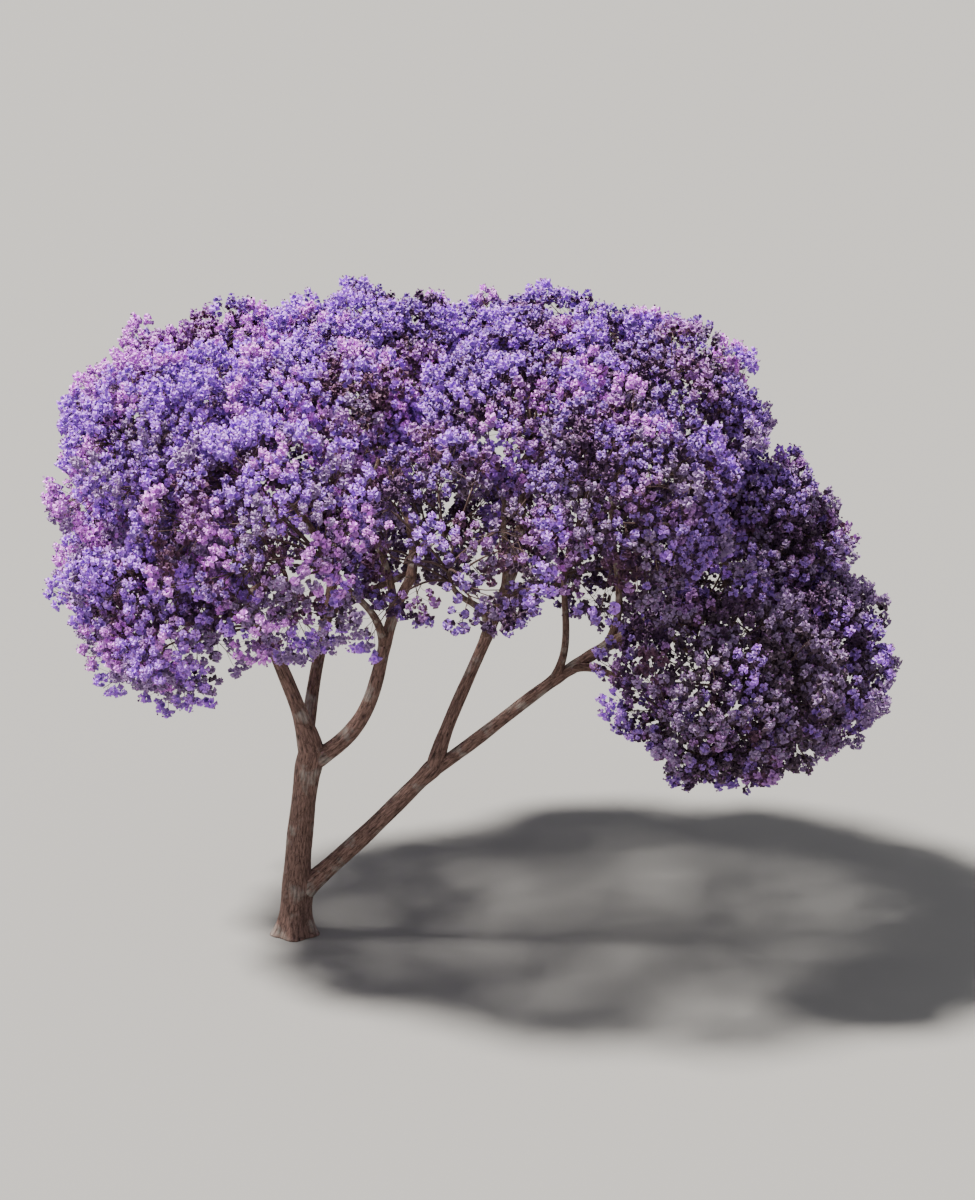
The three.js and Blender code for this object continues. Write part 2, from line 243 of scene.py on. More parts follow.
def mixColours(tree, factor, first, second, how="MIX"):
    # the first colour at factor 0, and at 1 the second, or the product of both where how is MULTIPLY
    node = addNode(tree, "ShaderNodeMix", {
        mixSockets["factor"]: factor, mixSockets["first"]: first, mixSockets["second"]: second,
    }, data_type="RGBA", blend_type=how, clamp_factor=True)
    return node.outputs[mixSockets["result"]]


# What the bark's patterns are, how they are drawn out along the limb, and the ramps that read them: each
# runs from its first number to its second as the pattern goes from its third to its fourth.
barkPattern = {
    "stretch": (1, 1, 0.2),
    "fissures": {"Scale": 26, "Detail": 6, "Roughness": 0.66},
    "plates": {"Scale": 17},
    "grain": {"Scale": 130, "Detail": 3},
    "patches": {"Scale": 2.6, "Detail": 4},
    "dark": (1, 0, 0.36, 0.55),
    "sunken": (1, 0, 0.05, 0.6),
    "cracks": (0.75, 0, 0, 0.09),
    "lichen": (0, 0.55, 0.54, 0.68),
    "raised": (0.2, 1, 0.2, 0.8),
    "shade": (0.78, 1.15, 0.3, 0.7),
    "rough": (0.98, 0.8, 0.3, 0.7),
    "edges": (0, 0.6, 0, 0.12),
    "grainHeight": 0.12,
    "bumpDistance": 0.012,
}


def makeBarkGroup():
    # colour: ridge, and furrow in the fissures, the cracks between plates and the modelled furrows, with
    # lichen where its patches lie on raised bark, all times the shade of a fine grain; roughness: most in
    # the fissures; height: fissures + plates + grain
    group = bpy.data.node_groups.new("barkFinish", "ShaderNodeTree")
    addSocket(group, "Place", "NodeSocketVector")
    addSocket(group, "Furrow", "NodeSocketFloat", 0.5)
    addSocket(group, "Ridge Color", "NodeSocketColor", (0.3, 0.22, 0.19, 1))
    addSocket(group, "Furrow Color", "NodeSocketColor", (0.07, 0.045, 0.04, 1))
    addSocket(group, "Lichen Color", "NodeSocketColor", (0.42, 0.4, 0.36, 1))
    addSocket(group, "Scale", "NodeSocketFloat", 1.0)
    addSocket(group, "Color", "NodeSocketColor", output=True)
    addSocket(group, "Roughness", "NodeSocketFloat", output=True)
    addSocket(group, "Height", "NodeSocketFloat", output=True)
    given = group.nodes.new("NodeGroupInput").outputs
    made = group.nodes.new("NodeGroupOutput")

    scaled = addNode(group, "ShaderNodeVectorMath", {
        0: given["Place"], "Scale": given["Scale"],
    }, operation="SCALE").outputs[0]
    stretched = addNode(group, "ShaderNodeVectorMath", {
        0: scaled, 1: barkPattern["stretch"],
    }, operation="MULTIPLY").outputs[0]
    fissures = addNode(group, "ShaderNodeTexNoise", {
        "Vector": stretched, **barkPattern["fissures"],
    }).outputs[0]
    plates = addNode(group, "ShaderNodeTexVoronoi", {
        "Vector": stretched, **barkPattern["plates"],
    }, feature="DISTANCE_TO_EDGE").outputs[0]
    grain = addNode(group, "ShaderNodeTexNoise", {"Vector": scaled, **barkPattern["grain"]}).outputs[0]
    patches = addNode(group, "ShaderNodeTexNoise", {"Vector": scaled, **barkPattern["patches"]}).outputs[0]

    dark = rampBetween(group, fissures, *barkPattern["dark"])
    sunken = rampBetween(group, given["Furrow"], *barkPattern["sunken"])
    cracks = rampBetween(group, plates, *barkPattern["cracks"])
    darkness = calculate(group, "MAXIMUM", dark, sunken)
    darkness = calculate(group, "MAXIMUM", darkness, cracks)
    wood = mixColours(group, darkness, given["Ridge Color"], given["Furrow Color"])
    lichen = rampBetween(group, patches, *barkPattern["lichen"])
    raised = rampBetween(group, given["Furrow"], *barkPattern["raised"])
    lichenHere = calculate(group, "MULTIPLY", lichen, raised)
    spotted = mixColours(group, lichenHere, wood, given["Lichen Color"])
    shade = rampBetween(group, grain, *barkPattern["shade"])
    tinted = mixColours(group, 1.0, spotted, shade, "MULTIPLY")
    rough = rampBetween(group, fissures, *barkPattern["rough"])
    edges = rampBetween(group, plates, *barkPattern["edges"])
    height = calculate(group, "ADD", fissures, edges)
    height = calculate(group, "MULTIPLY_ADD", grain, barkPattern["grainHeight"], height)
    for name, value in (("Color", tinted), ("Roughness", rough), ("Height", height)):
        group.links.new(value, made.inputs[name])
    return group


def newMaterial(name):
    # a material with its node tree and its Principled shader
    material = bpy.data.materials.new(name)
    material.use_nodes = True
    tree = material.node_tree
    return material, tree, tree.nodes["Principled BSDF"]


barkLooks = {
    "limbBark": {
        "ridge": (0.25, 0.145, 0.118, 1), "furrow": (0.035, 0.018, 0.015, 1), "scale": 1.0, "bump": 0.7,
    },
    "boughBark": {
        "ridge": (0.19, 0.108, 0.086, 1), "furrow": (0.032, 0.017, 0.014, 1), "scale": 1.7, "bump": 0.5,
    },
}


def makeBark(name, look, group):
    # the bark group at the place and the furrow that the mesh carries, with this look's colours and scale
    material, tree, shader = newMaterial(name)
    place = addNode(tree, "ShaderNodeAttribute", attribute_name="barkPlace").outputs["Vector"]
    furrow = addNode(tree, "ShaderNodeAttribute", attribute_name="furrow").outputs["Fac"]
    finish = addNode(tree, "ShaderNodeGroup", {
        "Place": place, "Furrow": furrow, "Ridge Color": look["ridge"], "Furrow Color": look["furrow"],
        "Scale": look["scale"],
    }, node_tree=group).outputs
    bump = addNode(tree, "ShaderNodeBump", {
        "Height": finish["Height"], "Strength": look["bump"], "Distance": barkPattern["bumpDistance"],
    })
    tree.links.new(finish["Color"], shader.inputs["Base Color"])
    tree.links.new(finish["Roughness"], shader.inputs["Roughness"])
    tree.links.new(bump.outputs["Normal"], shader.inputs["Normal"])
    return material


# Twigs and petals have one plain colour each, and a roughness from the first number to the second as a fine
# noise goes from low to high.
noiseForm = {"detail": 3, "low": 0.3, "high": 0.7}
twigLook = {"color": (0.09, 0.05, 0.045, 1), "roughness": (0.7, 0.95), "scale": 18}

# Petals in three hues, rosy lilac, blue lilac and a dusky lilac, each in a pale, a mid and a deep tone,
# and the darker buds at a panicle's tip. The mid and deep tones stand partly for older blossom and partly
# for painted shade, as darker copies of each hue dealt where the crown lies in shade.
petalLooks = {
    "rosyPale": (0.9, 0.37, 1.0, 1),
    "rosyMid": (0.48, 0.235, 0.58, 1),
    "rosyDeep": (0.16, 0.075, 0.13, 1),
    "bluePale": (0.66, 0.3, 1.0, 1),
    "blueMid": (0.37, 0.2, 0.62, 1),
    "blueDeep": (0.12, 0.062, 0.135, 1),
    "duskPale": (0.42, 0.28, 0.52, 1),
    "duskMid": (0.35, 0.24, 0.43, 1),
    "duskDeep": (0.15, 0.098, 0.145, 1),
    "bud": (0.28, 0.13, 0.33, 1),
}
petalFinish = {"roughness": (0.55, 0.8), "scale": 40, "specular": 0.25}


def makeGrained(name, color, finish):
    # a plain base colour, with a roughness that a fine noise varies
    material, tree, shader = newMaterial(name)
    place = addNode(tree, "ShaderNodeTexCoord").outputs["Object"]
    grain = addNode(tree, "ShaderNodeTexNoise", {
        "Vector": place, "Scale": finish["scale"], "Detail": noiseForm["detail"],
    }).outputs[0]
    rough = rampBetween(tree, grain, *finish["roughness"], noiseForm["low"], noiseForm["high"])
    tree.links.new(rough, shader.inputs["Roughness"])
    shader.inputs["Base Color"].default_value = color
    return material, shader


barkGroup = makeBarkGroup()
barks = {name: makeBark(name, look, barkGroup) for name, look in barkLooks.items()}
twigMaterial, _ = makeGrained("twigBark", twigLook["color"], twigLook)
petalMaterials = []
for name, color in petalLooks.items():
    material, shader = makeGrained(name, color, petalFinish)
    shader.inputs["Specular IOR Level"].default_value = petalFinish["specular"]
    petalMaterials.append(material)
print("materials made")


# The crown: a flat dome of rings of masses, as in the solids. `kept` fills or thins single masses; it is 1
# in the others. Twigs and blossom are left out where they lie too far back from a mass's axis, past the
# cosine widest, or widestRound in the masses that hang further round.
crown = {
    "middleY": 0.8,
    "focus": (3.3, 0.8, 5.2),
    "kept": {
        "top_back_right": 1.3, "top_back_left": 1.3, "top_front_left": 1.3, "top_front_right": 1.3,
        "shoulder_front": 0.42,
        "skirt_front_right": 1.4, "skirt_right": 1.2, "skirt_back": 1.3, "skirt_back_right": 1.3,
        "skirt_back_left": 1.2,
    },
    "widest": -0.3,
    "widestRound": -0.65,
    "round": ("shoulder_front", "shoulder_front_left", "skirt_front_right"),
}
rings = {
    "top": {
        "middleX": 2.7, "halfWidth": 2.65, "halfDepth": 1.85, "height": 10.15,
        "rightDroop": 0, "frontDroop": 0.08, "radius": 2.45, "rise": 1.9,
        "bearings": {"back_right": 34, "back_left": 120, "front_left": 220, "front_right": 308},
    },
    "shoulder": {
        "middleX": 2.4, "halfWidth": 4.75, "halfDepth": 3.95, "height": 9.8,
        "rightDroop": 0, "frontDroop": 0.25, "radius": 2.55, "rise": 2.35,
        "bearings": {
            "right": 8, "back_right": 58, "back": 105, "back_left": 148,
            "left": 194, "front_left": 240, "front": 277, "front_right": 318,
        },
    },
    "flank": {
        "middleX": 3.6, "halfWidth": 5.3, "halfDepth": 4.3, "height": 7.65,
        "rightDroop": 0, "frontDroop": 0, "radius": 1.85, "rise": 1.75,
        "bearings": {"right": 2},
    },
    "skirt": {
        "middleX": 3.6, "halfWidth": 6.0, "halfDepth": 4.65, "height": 6.95,
        "rightDroop": 0.235, "frontDroop": 0.03, "radius": 2.4, "rise": 2.3,
        "bearings": {
            "right": 350, "right_rear": 28, "back_right": 66, "back": 104,
            "back_left": 146, "left": 174, "front_left": 204, "front_right": 315,
        },
    },
}


def planMasses():
    # centre = the ring's middle + (halfWidth cos b, halfDepth sin b), its height less the droop to the
    # right and the front; axis = the direction from the crown's focus to the centre
    masses = {}
    for ring, plan in rings.items():
        for side, bearing in plan["bearings"].items():
            angle = np.radians(bearing)
            outX = plan["halfWidth"] * np.cos(angle)
            outY = plan["halfDepth"] * np.sin(angle)
            height = plan["height"] - plan["rightDroop"] * max(0, outX) - plan["frontDroop"] * max(0, -outY)
            centre = np.array([plan["middleX"] + outX, crown["middleY"] + outY, height])
            name = f"{ring}_{side}"
            masses[name] = {
                "centre": centre,
                "half": np.array([plan["radius"], plan["radius"], plan["rise"]]),
                "axis": unit(centre - np.array(crown["focus"])),
                "number": len(masses) + 1,
                "kept": crown["kept"].get(name, 1),
                "widest": crown["widestRound"] if name in crown["round"] else crown["widest"],
            }
    return masses


# The limbs: where each leaves its parent, where it ends, the way to its two middle control points, its
# radii at root and tip, and the masses whose boughs it carries. `mesh` is the number of sections along a
# limb and of points round it.
limbPlan = {
    "trunk": {
        "from": (0, 0, 0), "to": (0.37, 0, 3.76),
        "leave": (0.06, 0, 1.3), "arrive": (0.23, 0, 1.15),
        "radii": (0.272, 0.225), "mesh": (170, 96), "carries": (),
    },
    "leaning_stem": {
        "from": ("trunk", 0.2), "to": (2.74, -0.2, 3.52),
        "leave": (0.82, -0.06, 0.72), "arrive": (0.76, -0.06, 0.83),
        "radii": (0.185, 0.15), "mesh": (150, 72), "carries": (),
    },
    "left_limb": {
        "from": ("trunk", 1), "to": (-0.9, 0.15, 7.05),
        "leave": (-0.16, 0, 0.9), "arrive": (-0.56, 0.15, 1.15),
        "radii": (0.165, 0.095), "mesh": (140, 60),
        "carries": ("skirt_front_left", "skirt_left", "skirt_back_left", "shoulder_left"),
    },
    "centre_limb": {
        "from": ("trunk", 0.93), "to": (2.3, 0.05, 7.2),
        "leave": (1.75, -0.1, 1), "arrive": (0.9, 0.15, 1.5),
        "radii": (0.17, 0.095), "mesh": (150, 60),
        "carries": ("shoulder_front_left", "top_front_left", "top_back_left"),
    },
    "back_limb": {
        "from": ("trunk", 0.86), "to": (0.85, 2.9, 7),
        "leave": (-0.12, 0.9, 0.7), "arrive": (0.25, 0.7, 1.3),
        "radii": (0.15, 0.09), "mesh": (140, 56),
        "carries": ("skirt_back", "shoulder_back_left", "shoulder_back"),
    },
    "upright_fork": {
        "from": ("leaning_stem", 1), "to": (4.3, 0.5, 7.5),
        "leave": (0.33, 0.06, 1.3), "arrive": (0.35, 0.25, 1.3),
        "radii": (0.132, 0.092), "mesh": (140, 56),
        "carries": (
            "shoulder_front", "skirt_back_right", "top_front_right", "top_back_right", "shoulder_back_right",
        ),
    },
    "leaning_fork": {
        "from": ("leaning_stem", 0.93), "to": (6.7, -0.25, 6.35),
        "leave": (1.3, -0.05, 0.9), "arrive": (1.5, 0, 0.7),
        "radii": (0.135, 0.095), "mesh": (140, 56),
        "carries": (
            "shoulder_front_right", "skirt_front_right", "skirt_right_rear", "shoulder_right", "flank_right",
            "skirt_right",
        ),
    },
}
knotForm = {"swell": 0.34, "reach": 1.7}
boughForm = {
    "rootRadius": 0.082, "limbShare": 0.86, "tipRadius": 0.044, "lowestShare": 0.52, "bend": 0.36,
    "lift": 0.5, "depth": 0.55, "mesh": (54, 24),
}


def planLimbs(masses):
    # a limb is a cubic Bezier from its start, along leave, to its end, along arrive; boughs leave it evenly
    # along its outer part, and each ends short of its mass's centre, turned up
    limbs = {}
    for name, plan in limbPlan.items():
        if len(plan["from"]) == 3:
            parent, share = None, 0
            start = np.array(plan["from"], float)
        else:
            parent, share = plan["from"]
            start = pointAt(limbs[parent]["control"], share)
        end = np.array(plan["to"], float)
        limbs[name] = {
            "control": np.stack([start, start + plan["leave"], end - plan["arrive"], end]),
            "radii": plan["radii"],
            "mesh": plan["mesh"],
            "look": "limbBark",
            "parentRadius": between(limbs[parent]["radii"], share) if parent else None,
            "goesOn": share == 1,
            "knots": [],
        }
        if parent and share < 1:
            addKnot(limbs[parent], limbs[name])
    lowest = boughForm["lowestShare"]
    for name, plan in limbPlan.items():
        for i, massName in enumerate(plan["carries"]):
            share = lowest + (1 - lowest) * (i + 1) / len(plan["carries"])
            bough = planBough(masses[massName], limbs[name], share)
            limbs[f"bough_{massName}"] = bough
            if share < 1:
                addKnot(limbs[name], bough)
    return limbs


def addKnot(parent, child):
    # a limb swells round the place where the middle line of another leaves its surface
    heading = tangentAt(child["control"], 0.0)
    parent["knots"].append({
        "place": child["control"][0] + heading * child["parentRadius"],
        "swell": knotForm["swell"] * child["radii"][0],
        "reach": knotForm["reach"] * child["radii"][0],
    })


def planBough(mass, limb, share):
    # leaves between the limb's direction and the straight way; arrives between that, the mass's axis and up
    start = pointAt(limb["control"], share)
    end = mass["centre"] - mass["axis"] * boughForm["depth"] * mass["half"][0]
    straight = unit(end - start)
    leaving = tangentAt(limb["control"], share) + straight
    arriving = mass["axis"] + straight + up * boughForm["lift"]
    parentRadius = between(limb["radii"], share)
    rootRadius = min(boughForm["rootRadius"], parentRadius * boughForm["limbShare"])
    return {
        "control": curveThrough(start, end, leaving, arriving, boughForm["bend"]),
        "radii": (rootRadius, boughForm["tipRadius"]),
        "mesh": boughForm["mesh"],
        "look": "boughBark",
        "parentRadius": parentRadius,
        "goesOn": share == 1,
        "knots": [],
    }


masses = planMasses()
limbs = planLimbs(masses)


# The bark: the trunk's flare at the foot, the collar where a limb leaves the side of another, the sleeve
# where it goes on from another's end, and the relief. `level` is the part of a ridge that stays inside, and
# `phase` and `offset` are steps from limb to limb. A wave is (height, length along, turns round, phases).
flare = {"extra": 0.19, "fadeHeight": 0.33, "ribs": 5, "ribShare": 0.22, "levelShare": 0.12}
collar = {"most": 1.5, "parentShare": 0.88, "fade": 0.2, "root": 0.45}
sleeve = {"parentShare": 1.1, "fade": 0.55}
relief = {
    "pitch": 0.07, "depth": 0.045, "deepest": 0.011, "fewest": 7, "level": 0.7, "phase": 1.7, "offset": 3.1,
}
ridgeForm = {
    "bends": ((1.3, 0.19, 2, 1), (0.8, 0.083, -3, 2)), "roundness": 0.55,
    "breakLength": 0.1, "breakBends": ((1.6, 0.27, 3, 1),), "breakRoundness": 0.4, "breakDepth": 0.38,
}
lumps = {"height": 0.03, "waves": ((1, 0.43, 1, 1), (0.7, 0.19, -2, 1)), "fade": 0.5}
cap = {"rings": 7, "rise": 0.75}


def addWaves(waves, along, angle, phase):
    # the sum of height sin(way along / length + turns angle + phases phase)
    return sum(
        height * np.sin(along / length + turns * angle + phases * phase)
        for height, length, turns, phases in waves
    )


def barkRidges(angle, along, count, phase):
    # |sin| of an angle counted round the limb and bent by slower waves, times another wave that breaks it
    # across: 0 in a furrow, 1 on a ridge
    bend = addWaves(ridgeForm["bends"], along, angle, phase)
    ridge = np.abs(np.sin(0.5 * (count * angle + bend)))
    breakBend = addWaves(ridgeForm["breakBends"], along, angle, phase)
    broken = np.abs(np.sin(along / ridgeForm["breakLength"] + breakBend))
    depth = ridgeForm["breakDepth"]
    return ridge**ridgeForm["roundness"] * (1 - depth + depth * broken**ridgeForm["breakRoundness"])


def swollenRadius(limb, share, length, angle, centre, ring):
    # taper, and on the trunk the flare, on a limb that goes on from another the sleeve, on the others the
    # collar, starting thin inside the parent; then a swelling round each knot
    base = between(limb["radii"], share)[:, None] + 0 * angle
    if limb["parentRadius"] is None:
        swell = flare["extra"] * np.exp(-centre[:, 2:] / flare["fadeHeight"])
        base = base + swell * (1 + flare["ribShare"] * np.cos(flare["ribs"] * angle))
    elif limb["goesOn"]:
        widest = limb["parentRadius"] * sleeve["parentShare"]
        base = base + max(0, widest - limb["radii"][0]) * np.exp(-(length / sleeve["fade"])**2)
    else:
        widest = min(limb["parentRadius"] * collar["parentShare"], limb["radii"][0] * collar["most"])
        outside = np.maximum(0, length - limb["parentRadius"])
        base = base + max(0, widest - limb["radii"][0]) * np.exp(-outside / collar["fade"])
        emerged = np.sin(0.5 * np.pi * np.minimum(1, length / limb["parentRadius"]))
        base = base * (collar["root"] + (1 - collar["root"]) * emerged)
    for knot in limb["knots"]:
        away = np.linalg.norm(centre[:, None] + ring * base[:, :, None] - knot["place"], axis=-1)
        base = base + knot["swell"] * np.exp(-(away / knot["reach"])**2)
    return base


def limbSurface(limb, number):
    # centre(s) + (across cos a + third sin a) radius(s, a), where radius = the swollen radius + lumps +
    # relief; the last rings round off the tip as a quarter ellipse
    ringCount, sides = limb["mesh"]
    share = np.linspace(0, 1, ringCount)
    centre, along, across, third = sections(limb["control"], share)
    isTrunk = limb["parentRadius"] is None
    if isTrunk:
        tilt = np.minimum(1, share / flare["levelShare"])[:, None]
        along = unit(up + (along - up) * tilt)
        across = unit(across - dot(across, along)[:, None] * along)
        third = np.cross(along, across)
    angle = roundSection(sides)
    steps = np.linalg.norm(np.diff(centre, axis=0), axis=1)
    length = np.concatenate([[0], np.cumsum(steps)])[:, None]
    ring = across[:, None] * np.cos(angle)[:, None] + third[:, None] * np.sin(angle)[:, None]
    base = swollenRadius(limb, share, length, angle, centre, ring)
    phase = number * relief["phase"]
    middleRadius = between(limb["radii"], 0.5)
    count = max(relief["fewest"], round(2 * np.pi * middleRadius / relief["pitch"]))
    ridges = barkRidges(angle, length, count, phase)
    depth = np.minimum(relief["deepest"], relief["depth"] * base)
    lump = lumps["height"] * addWaves(lumps["waves"], length, angle, phase)
    lump = lump * np.minimum(1, length / lumps["fade"])
    radius = base * (1 + lump) + depth * (ridges - relief["level"])
    place = centre[:, None] + ring * radius[:, :, None]
    if isTrunk:
        place[0, :, 2] = 0
    turn = np.linspace(0, 0.5 * np.pi, cap["rings"] + 1)[1:-1]
    tipRadius = radius[-1][None, :] * np.cos(turn)[:, None]
    tipCentre = centre[-1] + along[-1] * (radius[-1].mean() * cap["rise"] * np.sin(turn))[:, None]
    tips = tipCentre[:, None] + ring[-1][None] * tipRadius[:, :, None]
    place = np.concatenate([place, tips])
    barkPlace = np.stack([
        base.mean() * np.cos(angle) + 0 * length,
        base.mean() * np.sin(angle) + 0 * length,
        length + 0 * angle + number * relief["offset"],
    ], axis=-1)
    barkPlace = np.concatenate([barkPlace, np.repeat(barkPlace[-1:], len(turn), axis=0)])
    ridges = np.concatenate([ridges, np.repeat(ridges[-1:], len(turn), axis=0)])
    return place, barkPlace, ridges


for number, (name, limb) in enumerate(limbs.items()):
    place, barkPlace, ridges = limbSurface(limb, number)
    faces = tubeFaces(1, place.shape[0], place.shape[1])
    piece = makeMesh(f"bark_{name}", place.reshape(-1, 3), faces, [barks[limb["look"]]])
    addAttribute(piece, "barkPlace", barkPlace.reshape(-1, 3))
    addAttribute(piece, "furrow", ridges.ravel())
    standFor(piece, name)
print("limbs and boughs made:", len(limbs))


# Room: a mass keeps to the space nearer its own centre than any other's, and clear of the limbs, which are
# tested as a row of balls each. The last few balls of its own bough are free.
room = {"passing": 0.008, "balls": 40, "freeBalls": 5, "near": 0.5}
ballShare = np.linspace(0, 1, room["balls"] + 1)
limbNames = list(limbs)
ballPlace = np.stack([curvePoints(limb["control"], ballShare) for limb in limbs.values()])
ballRadius = np.stack([between(limb["radii"], ballShare) for limb in limbs.values()])


def keepsSpace(points, radius, name):
    # a point's distance past the plane halfway to each other mass, along the line between the centres,
    # stays below -(radius + passing)
    own = masses[name]["centre"]
    others = np.array([mass["centre"] for other, mass in masses.items() if other != name])
    past = (points[:, None] - (own + others) / 2) * unit(others - own)
    return np.all(past.sum(axis=-1) < -(radius + room["passing"]), axis=1)


def clearOfLimbs(points, radius, name):
    # a point's distance to each ball along each limb is more than the two radii and the passing room
    tested = np.ones_like(ballRadius, bool)
    tested[limbNames.index(f"bough_{name}"), -room["freeBalls"]:] = False
    place = ballPlace[tested]
    least = ballRadius[tested] + radius + room["passing"]
    low = points.min(axis=0) - room["near"]
    high = points.max(axis=0) + room["near"]
    near = np.all((place > low) & (place < high), axis=1)
    distance = np.linalg.norm(points[:, None] - place[near], axis=-1)
    return np.all(distance > least[near], axis=1)


def hasRoom(points, radius, name):
    # both: inside the mass's own space and clear of the limbs
    return keepsSpace(points, radius, name) & clearOfLimbs(points, radius, name)


# How much directions and reaches vary, and the number of each draw of chance, added to the mass's own
# number. The nudges and the wobble take a number for each of their three coordinates.
jitter = {"direction": 0.08, "reach": 0.34}
draws = {
    "nudgeStep": 10, "twigDirection": 100, "twigKept": 70, "twigReach": 50,
    "panicleShare": 3, "panicleSink": 9, "panicleSize": 5,
    "flowerHeight": 21, "flowerSpread": 22, "flowerGrowth": 23, "flowerWobble": 30,
    "hueBySpray": 60, "hueByBranch": 64, "dusky": 65,
    "ageByPanicle": 61, "ageBySpray": 62, "ageByBranch": 63,
}


def evenDirections(count, number):
    # directions spread evenly over a ball by the golden angle, each nudged a little by chance
    place = np.arange(count)
    z = 1 - (2 * place + 1) / count
    turn = place * goldenAngle + number
    level = np.sqrt(1 - z * z)
    nudge = np.stack([chance(place + 1, number + draws["nudgeStep"] * k) - 0.5 for k in range(3)], axis=-1)
    nudge = nudge * 2 * jitter["direction"]
    return unit(np.stack([level * np.cos(turn), level * np.sin(turn), z], axis=-1) + nudge)


# Where masses meet, the crown's surface runs over the dip between them.
blend = {"sharpness": 1.6, "furthest": 1.24, "step": 0.04}
centres = np.array([mass["centre"] for mass in masses.values()])
halves = np.array([mass["half"] for mass in masses.values()])


def surfaceReach(direction, mass):
    # the furthest of a few reaches, in half sizes, at which the nearnesses to all masses, each
    # exp(sharpness (1 - d d)) at d half sizes from the middle, add up to 1; 1 itself where none does
    reaches = np.arange(blend["furthest"], 1, -blend["step"])
    point = mass["centre"] + (direction * mass["half"])[:, None] * reaches[:, None]
    away = (point[:, :, None] - centres) / halves
    total = np.exp(blend["sharpness"] * (1 - (away**2).sum(axis=-1))).sum(axis=-1)
    reached = total >= 1
    return np.where(reached.any(axis=1), reaches[np.argmax(reached, axis=1)], 1)


# How a mass branches. `places` are spread evenly over a ball, and `mesh` is a tube's rings and sides.
stemForm = {"length": 0.26, "sunk": 0.06, "radii": (0.044, 0.03), "bend": 0.33, "mesh": (4, 8)}
branchForm = {
    "places": 12, "share": 0.5, "radii": (0.028, 0.016), "bend": 0.34, "mesh": (9, 6),
    "straightest": 0.3, "setBack": 0.2, "sunk": 0.03, "onward": 0.8,
}
twigForm = {
    "places": 222, "fewerBelow": 0.2, "inset": 0.3, "pulls": (1, 0.94, 0.88, 0.82, 0.76),
    "fromMasses": 0.12, "fromLimbs": 0.1, "middleRoom": 0.02,
    "shares": (0.45, 0.62, 0.8, 1), "ahead": 0.2, "behindCost": 5, "lift": 0.3,
    "radii": (0.0125, 0.006), "bend": 0.33, "mesh": (5, 4),
}
sprayForm = {
    "panicles": 7, "radius": 0.38, "dome": 0.16, "depth": 0.16, "room": 0.07,
    "uneven": 0.5, "seedStep": 20, "turnStep": 1.3, "tilt": 0.01, "furtherBack": 0.6,
    "radii": (0.0055, 0.003), "bend": 0.35, "mesh": (3, 3),
}
panicleForm = {
    "flowers": 11, "length": 0.2, "width": 0.078, "narrowing": 0.6, "uneven": 0.45, "sizes": (0.8, 1.3),
    "rise": 0.7, "sideways": 0.6, "stalkShare": 0.85, "tilt": 0.01,
}
flowerForm = {
    "length": 0.066, "mouth": 0.051, "petals": 5, "mouthOut": 0.5, "droop": 0.2, "forward": 0.35,
    "wobble": 0.9, "smallerUp": 0.35, "smallest": 0.85, "sizeRange": 0.3, "budShare": 0.86,
    "budMouth": 0.5, "seedSteps": (1.37, 3.11), "tilt": 0.02,
}


def growBranches(name):
    # a stem that carries the bough on to the hub, and curves to places halfway out to the spheroid; they
    # leave at the hub, or further back along the bough the more they turn away from its heading
    mass = masses[name]
    bough = limbs[f"bough_{name}"]["control"]
    heading = tangentAt(bough, 1.0)
    hub = bough[3] + heading * stemForm["length"]
    stem = curveThrough(bough[3] - heading * stemForm["sunk"], hub, heading, heading, stemForm["bend"])
    direction = evenDirections(branchForm["places"], mass["number"])
    direction = direction[dot(direction, mass["axis"]) > mass["widest"]]
    tip = mass["centre"] + direction * mass["half"] * branchForm["share"]
    fits = hasRoom(tip, branchForm["radii"][0], name)
    tip, direction = tip[fits], direction[fits]
    turned = 1 - dot(unit(tip - hub), heading)
    back = np.maximum(0, turned - branchForm["straightest"]) * branchForm["setBack"]
    atHub = (back == 0)[:, None]
    boughs = np.repeat(bough[None], len(tip), axis=0)
    root = np.where(atHub, hub - heading * branchForm["sunk"], pointsAt(boughs, 1 - back))
    along = np.where(atHub, heading, tangentsAt(boughs, 1 - back))
    straight = unit(tip - root)
    leaving = straight + branchForm["onward"] * along
    return stem[None], curveThrough(root, tip, leaving, straight + direction, branchForm["bend"])


